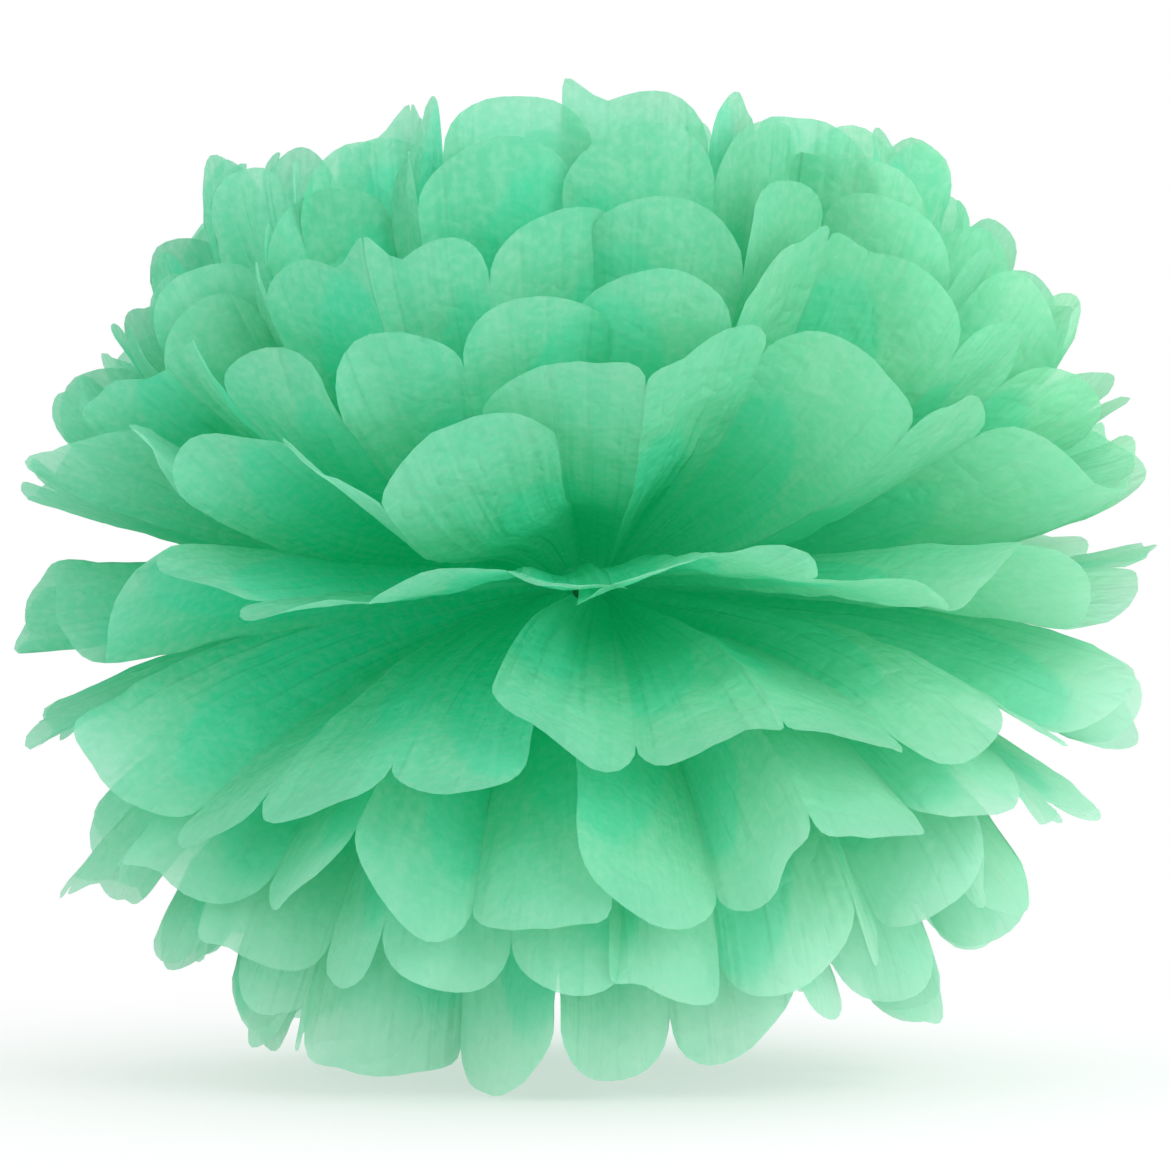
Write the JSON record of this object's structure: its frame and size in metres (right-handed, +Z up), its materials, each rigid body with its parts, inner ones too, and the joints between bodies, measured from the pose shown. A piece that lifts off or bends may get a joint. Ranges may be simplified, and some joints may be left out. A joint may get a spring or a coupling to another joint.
{
  "type": "tissue paper pom pom",
  "caption": "Hanging ball of pleated, fanned tissue paper sheets with round petal ends, tied across the middle with wire.",
  "frame": {"origin": "centre of the tied waist, where the wire goes round the pleated stack", "axes": "+Z up through the lifted sheets, +X along the unfolded length of the stack, -Y to the front seam that the picture looks at"},
  "size_m": [0.3305, 0.3291, 0.2829],
  "materials": {
    "tissue": "thin matt tissue paper, slightly see-through",
    "wire": "green coated florist's wire"
  },
  "bodies": {
    "root": {"tissue_sheet_01": "tissue", "tissue_sheet_02": "tissue", "tissue_sheet_03": "tissue", "tissue_sheet_04": "tissue", "tissue_sheet_05": "tissue", "tissue_sheet_06": "tissue", "tissue_sheet_07": "tissue", "tissue_sheet_08": "tissue", "tissue_sheet_09": "tissue", "tissue_sheet_10": "tissue", "tie_wire": "wire"}
  },
  "joints": []
}
